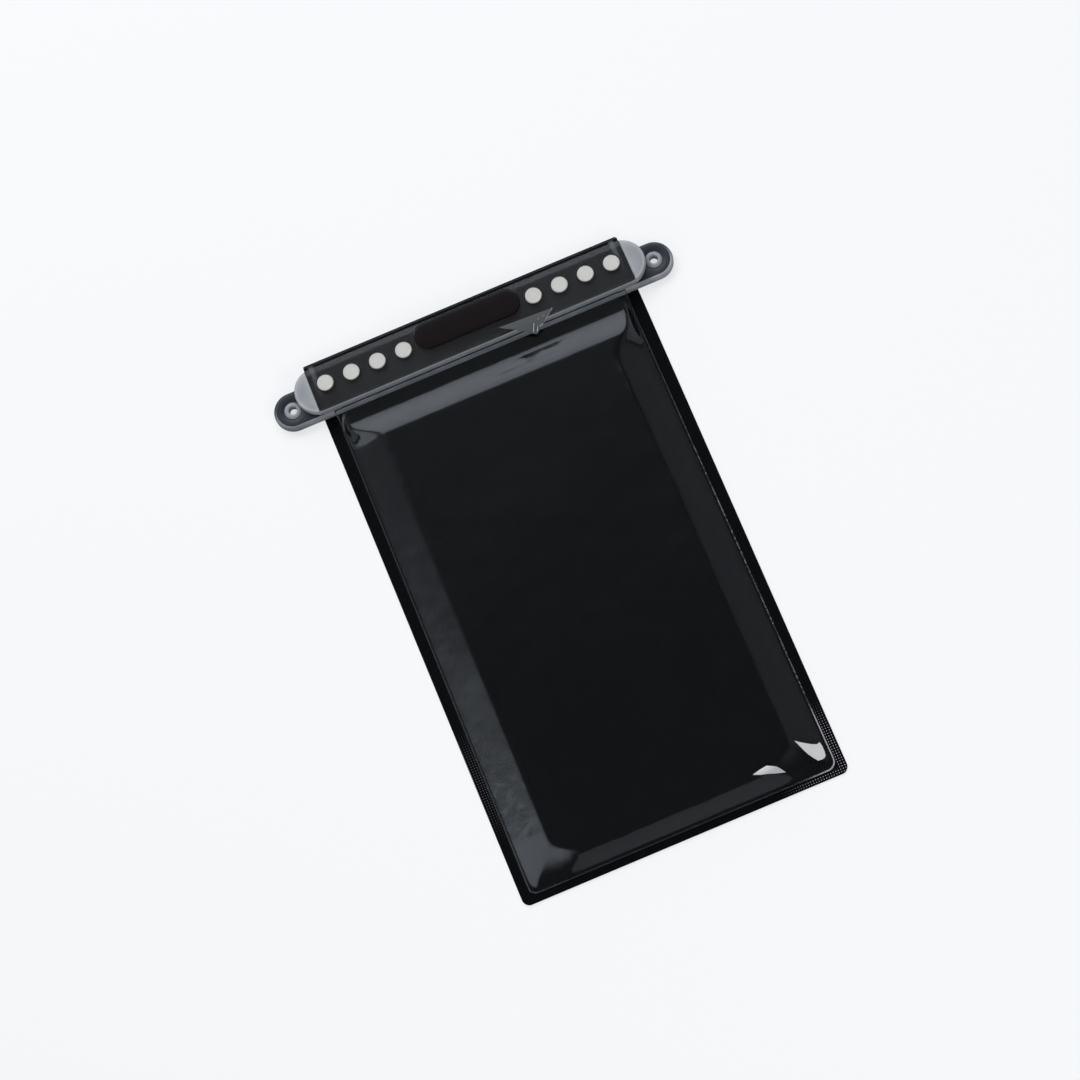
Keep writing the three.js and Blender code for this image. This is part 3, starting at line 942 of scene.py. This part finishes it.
filmDents = [  # middle, half lengths along x and y, depth
    ((44.8, 6.0), (3.4, 8.0), 0.15),
    ((-45.5, -22.0), (3.4, 12.0), 0.18),
]

paintedReflectionSpots = [  # outlines of the two spots by the foot where the film is painted white, as painted reflections of a softbox
    [
        (43.8, -85.6), (45.3, -86.6), (46.8, -87.4), (48.6, -88.3), (50.3, -88.8), (51.4, -88.4),
        (51.7, -89.8), (51.7, -91.5), (51.5, -93.0), (50.9, -93.7), (49.9, -94.0), (48.6, -93.8),
        (47.7, -92.8), (46.4, -91.1), (45.5, -89.5), (44.8, -87.8),
    ],
    [
        (27.2, -90.8), (29.9, -90.2), (32.4, -89.9), (35.3, -91.2), (36.4, -92.3), (37.4, -93.5),
        (34.2, -92.8), (31.8, -92.1), (29.4, -91.6),
    ],
]


def smoothMin(a, b, softness):
    near = max(softness - abs(a - b), 0) / softness
    return min(a, b) - near * near * softness / 4


def slopeLift(share, power):
    # from the weld, where the film leaves flat, to the pocket's shoulder
    f = windowFilm
    share = min(max(share, 0), 1)
    share = share * share * (1 + f["weldBend"]) / (share + f["weldBend"])
    return 1 - (1 - share) ** power


def outsideOf(x, y, halfWidth, foot, radius):
    # distance to a long pocket outline that is open at the head; negative inside
    dx = abs(x) - (halfWidth - radius)
    dy = foot + radius - y
    return math.hypot(max(dx, 0), max(dy, 0)) + min(max(dx, dy), 0) - radius


def dentHeight(x, y):
    total = 0
    for (cx, cy), (rx, ry), depth in filmDents:
        total += depth * math.exp(-((x - cx) / rx) ** 2 - ((y - cy) / ry) ** 2)
    return total


def filmLevel(x, y):
    f = windowFilm
    start, end = (f[key][1 if x > 0 else 0] for key in ("widerFrom", "widerTo"))
    half = f["pocketHalf"] + f["headWider"] * smoothStep(start, end, y)
    toPocket = max(outsideOf(x, y, half, f["pocketFoot"], f["pocketRadius"]), 0)
    toWeld = max(-outsideOf(x, y, f["weldInner"], f["weldFoot"], f["weldRadius"]), 0)
    side = slopeLift(toWeld / max(toWeld + toPocket, 0.01), f["sidePower"])
    closureLift = (f["closure"] - f["welded"]) / (f["pocketTop"] - f["welded"])
    side = max(side, closureLift * smoothStep(f["seamFoot"], f["seamTop"], y))
    headShare = (f["headStart"] - y) / (f["headStart"] - f["headEnd"])
    head = mix(closureLift, 1, slopeLift(headShare, f["headPower"]))
    lift = max(smoothMin(side, head, f["hip"]) + f["hip"] / 4 * smoothStep(0.7, 1, min(side, head)), 0)
    sag = sum(
        height * noise.noise(Vector((x / across, y / along, seed)))
        for height, across, along, seed in f["sag"]
    )
    level = mix(f["welded"], f["pocketTop"] + sag - f["sink"], min(lift, 1))
    atWeld, atHead = f["calm"]
    inner = smoothStep(f["weldInner"], f["weldInner"] - atWeld, abs(x))
    return level + dentHeight(x, y) * inner * smoothStep(f["head"], f["head"] - atHead, y)


def isInside(x, y, outline):
    inside = False
    for (ax, ay), (bx, by) in zip(outline, outline[1:] + outline[:1]):
        if (ay > y) != (by > y) and x < ax + (y - ay) * (bx - ax) / (by - ay):
            inside = not inside
    return inside


def cutOutline(bm, outline):
    # cut the sheet along the outline, then give the faces inside it the second material
    left, right = (limit(x for x, y in outline) for limit in (min, max))
    lower, upper = (limit(y for x, y in outline) for limit in (min, max))
    for (ax, ay), (bx, by) in zip(outline, outline[1:] + outline[:1]):
        middles = [(f, f.calc_center_median()) for f in bm.faces]
        faces = [f for f, m in middles if left - 1 < m.x < right + 1 and lower - 1 < m.y < upper + 1]
        geometry = set(faces) | {e for f in faces for e in f.edges} | {v for f in faces for v in f.verts}
        bmesh.ops.bisect_plane(
            bm, geom=list(geometry), dist=0.01, plane_co=(ax, ay, 0), plane_no=(by - ay, ax - bx, 0),
        )
    for f in bm.faces:
        middle = f.calc_center_median()
        if isInside(middle.x, middle.y, outline):
            f.material_index = 1


def makeWindowFilm():
    f = windowFilm
    bm = bmesh.new()
    openGrid(bm, 2 * f["halfWidth"], f["foot"], f["head"], f["cell"])
    roundFootCorners(bm, f["halfWidth"], f["foot"], f["cornerRadius"], 6)
    for outline in paintedReflectionSpots:
        cutOutline(bm, outline)
    for v in bm.verts:
        v.co.z = filmLevel(v.co.x, v.co.y)
    bmesh.ops.recalc_face_normals(bm, faces=bm.faces)
    if sum(face.normal.z for face in bm.faces) < 0:
        bmesh.ops.reverse_faces(bm, faces=bm.faces)
    piece = finishPiece(bm, "windowFilm", [clearFilm, whiteFilm], 60, recalc=False)
    wall = piece.modifiers.new("filmThickness", "SOLIDIFY")
    wall.thickness = f["thickness"] * mm
    wall.offset = 1
    wall.use_even_offset = True
    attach(piece, root)
    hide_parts("front_window")


makeWindowFilm()


weldBead = {  # the raised line where the film meets the fabric
    "x": 53.55,
    "foot": -97.85,
    "cornerRadius": 3.0,
    "head": 74.5,
    "level": 0.62,
    "radius": 0.24,
    "wobble": 0.22,
    "spacing": 0.7,
}


def makeWeldBead():
    w = weldBead
    corner = w["cornerRadius"]
    right = []
    y = w["head"]
    while y > w["foot"] + corner:
        right.append((w["x"], y))
        y -= w["spacing"]
    for k in range(7):
        angle = math.pi / 2 * k / 6
        across, down = corner * math.cos(angle), corner * math.sin(angle)
        right.append((w["x"] - corner + across, w["foot"] + corner - down))
    x = w["x"] - corner - w["spacing"]
    while x > w["spacing"] / 2:
        right.append((x, w["foot"]))
        x -= w["spacing"]
    path = right + [(-x, y) for x, y in reversed(right)]
    bm = bmesh.new()
    addTube(bm, [(x, y, w["level"]) for x, y in path], w["radius"], w["wobble"])
    piece = finishPiece(bm, "weldBead", [weldGloss])
    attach(piece, root)
    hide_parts("front_window")


makeWeldBead()


filmFold = {  # a loose fold of the film that stands up over the strip's edge
    "corners": [(8.5, 83.3), (20.0, 76.6), (22.5, 78.4), (28.2, 82.4)],
    "radii": [0, 0.5, 0.6, 0],
    "crease": 80.4,
    "high": 8.5,
    "low": 5.7,
    "fall": 4.0,  # over this length along y it drops from high to low
    "thickness": 0.15,
    "streaks": [
        ((20.4, 79.9), (19.2, 77.7)), ((22.5, 80.8), (20.4, 77.4)),
        ((24.3, 81.2), (22.0, 78.3)), ((28.1, 82.35), (22.7, 78.6)),
    ],
    "streakRadius": 0.1,
}


def foldLevel(y):
    f = filmFold
    return mix(f["high"], f["low"], min(max((f["crease"] - y) / f["fall"], 0), 1))


def makeFilmFold():
    f = filmFold
    bm = bmesh.new()
    roundedFace(bm, f["corners"], f["radii"], 0, 4)
    bmesh.ops.bisect_plane(
        bm, geom=everything(bm), dist=1e-4, plane_co=(0, f["crease"], 0), plane_no=(0, 1, 0),
    )
    for v in bm.verts:
        v.co.z = foldLevel(v.co.y)
    thickenUp(bm, f["thickness"])
    for start, end in f["streaks"]:
        points = [(x, y, foldLevel(y) + f["thickness"] + 0.02) for x, y in (start, end)]
        for face in addTube(bm, points, f["streakRadius"]):
            face.material_index = 1
    piece = finishPiece(bm, "filmFold", [hazyFilm, whiteFilm])
    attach(piece, root)
    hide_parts("front_window")


makeFilmFold()


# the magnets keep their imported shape
for k in range(1, magnetRow["count"] + 1):
    for row in ("front", "rear"):
        node = bpy.data.objects[f"{row}_magnet_{k:02d}"]
        for spot in node.material_slots:
            spot.material = magnetPlating
print("magnets plated")


studio = {
    "floor": (0.33, 0.335, 0.34),
    "floorGlow": (0.66, 0.665, 0.67),  # only the camera sees it
    "floorMirrored": (0.3, 0.31, 0.32),
    "floorSize": 9.0,
    "skyBase": 0.06,
    "skyTint": (0.93, 1.0, 1.09),
    "backdrop": (0.93, 0.94, 0.95),  # what the camera sees of the sky
    "skyPatches": [  # strength, and soft limits on the direction: which axis, from where, to where
        (0.13, [(0, -0.25, -0.6), (2, 0.05, 0.16), (2, 0.86, 0.62)]),
        (0.38, [(0, -0.25, -0.6), (2, 0.05, 0.16), (2, 0.86, 0.62), (1, 0.31, 0.16)]),
        (0.36, [(0, -0.25, -0.6), (2, 0.05, 0.16), (2, 0.86, 0.62), (1, 0.19, 0.15)]),
        (0.1, [(0, 0.4, 0.7), (2, 0.05, 0.16), (2, 0.7, 0.5)]),
        (1.15, [(0, -0.62, -0.4), (0, 0.62, 0.4), (1, 0.25, 0.55), (2, 0.06, 0.2), (2, 0.93, 0.78)]),
        (0.06, [(1, 0.2, 0.36), (2, 0.8, 0.9)]),
    ],
}


def makeFloor():
    bm = bmesh.new()
    bmesh.ops.create_grid(bm, x_segments=1, y_segments=1, size=studio["floorSize"] / 2 / mm)
    bmesh.ops.translate(bm, vec=(0, 0, -0.02), verts=bm.verts)
    material, tree, shader, place = newMaterial(
        "paleFloor", studio["floor"], Roughness=0.8, Specular_IOR_Level=0.1,
    )
    seen = addNode(tree, "ShaderNodeLightPath").outputs["Is Camera Ray"]
    tone = colorMix(tree, seen, studio["floorMirrored"], studio["floor"])
    tree.links.new(tone, shader.inputs["Base Color"])
    tree.links.new(colorMix(tree, seen, (0, 0, 0), studio["floorGlow"]), shader.inputs["Emission Color"])
    shader.inputs["Emission Strength"].default_value = 1.0
    floor = finishPiece(bm, "studioFloor", [material], recalc=False)


def makeSky():
    world = bpy.data.worlds.new("studioSky")
    bpy.context.scene.world = world
    world.use_nodes = True
    tree = world.node_tree
    background = tree.nodes["Background"]
    direction = partsOf(tree, addNode(tree, "ShaderNodeTexCoord").outputs["Generated"])
    level = studio["skyBase"]
    for strength, limits in studio["skyPatches"]:
        patch = strength
        for axis, start, end in limits:
            patch = mathNode(tree, "MULTIPLY", softRange(tree, direction[axis], start, end), patch)
        level = mathNode(tree, "ADD", level, patch)
    tone = addNode(tree, "ShaderNodeCombineColor")
    for k, tint in enumerate(studio["skyTint"]):
        tree.links.new(mathNode(tree, "MULTIPLY", level, tint), tone.inputs[k])
    seen = addNode(tree, "ShaderNodeLightPath").outputs["Is Camera Ray"]
    tree.links.new(colorMix(tree, seen, tone.outputs[0], studio["backdrop"]), background.inputs["Color"])


def addSoftbox(name, azimuth, elevation, distance, width, height, radiance):
    lamp = bpy.data.lights.new(name, "AREA")
    lamp.shape = "RECTANGLE"
    lamp.size = width
    lamp.size_y = height
    lamp.energy = radiance * math.pi * width * height
    box = bpy.data.objects.new(name, lamp)
    a, e = math.radians(azimuth), math.radians(elevation)
    box.location = Vector((math.cos(a) * math.cos(e), math.sin(a) * math.cos(e), math.sin(e))) * distance
    box.rotation_euler = (-box.location).to_track_quat("-Z", "Y").to_euler()
    box.visible_glossy = False  # only the sky's soft patches are mirrored
    box.visible_transmission = False
    bpy.context.collection.objects.link(box)


softboxes = [  # azimuth, elevation, distance, width, height, radiance
    ("keyBox", 116, 49, 1.3, 0.6, 0.5, 5.2),
    ("fillBox", 63, 47, 1.3, 0.5, 0.5, 3.2),
    ("frontBox", -62, 42, 1.2, 0.5, 0.5, 4.5),
]

view = {
    "place": (-13.54, -214.92, 805.66),
    "turn": (14.681, 5.557, -22.129),
    "lens": 83.33,
    "sensor": 36.0,
}


def makeCamera():
    camera = bpy.data.objects.new("studioCamera", bpy.data.cameras.new("studioCamera"))
    camera.location = Vector(view["place"]) * mm
    camera.rotation_euler = Euler([math.radians(t) for t in view["turn"]], "XYZ")
    camera.data.lens = view["lens"]
    camera.data.sensor_width = view["sensor"]
    camera.data.clip_start = 0.01
    bpy.context.collection.objects.link(camera)
    bpy.context.scene.camera = camera


makeFloor()
makeSky()
for settings in softboxes:
    addSoftbox(*settings)
makeCamera()
bpy.context.scene.view_settings.view_transform = "Standard"
print("studio ready")
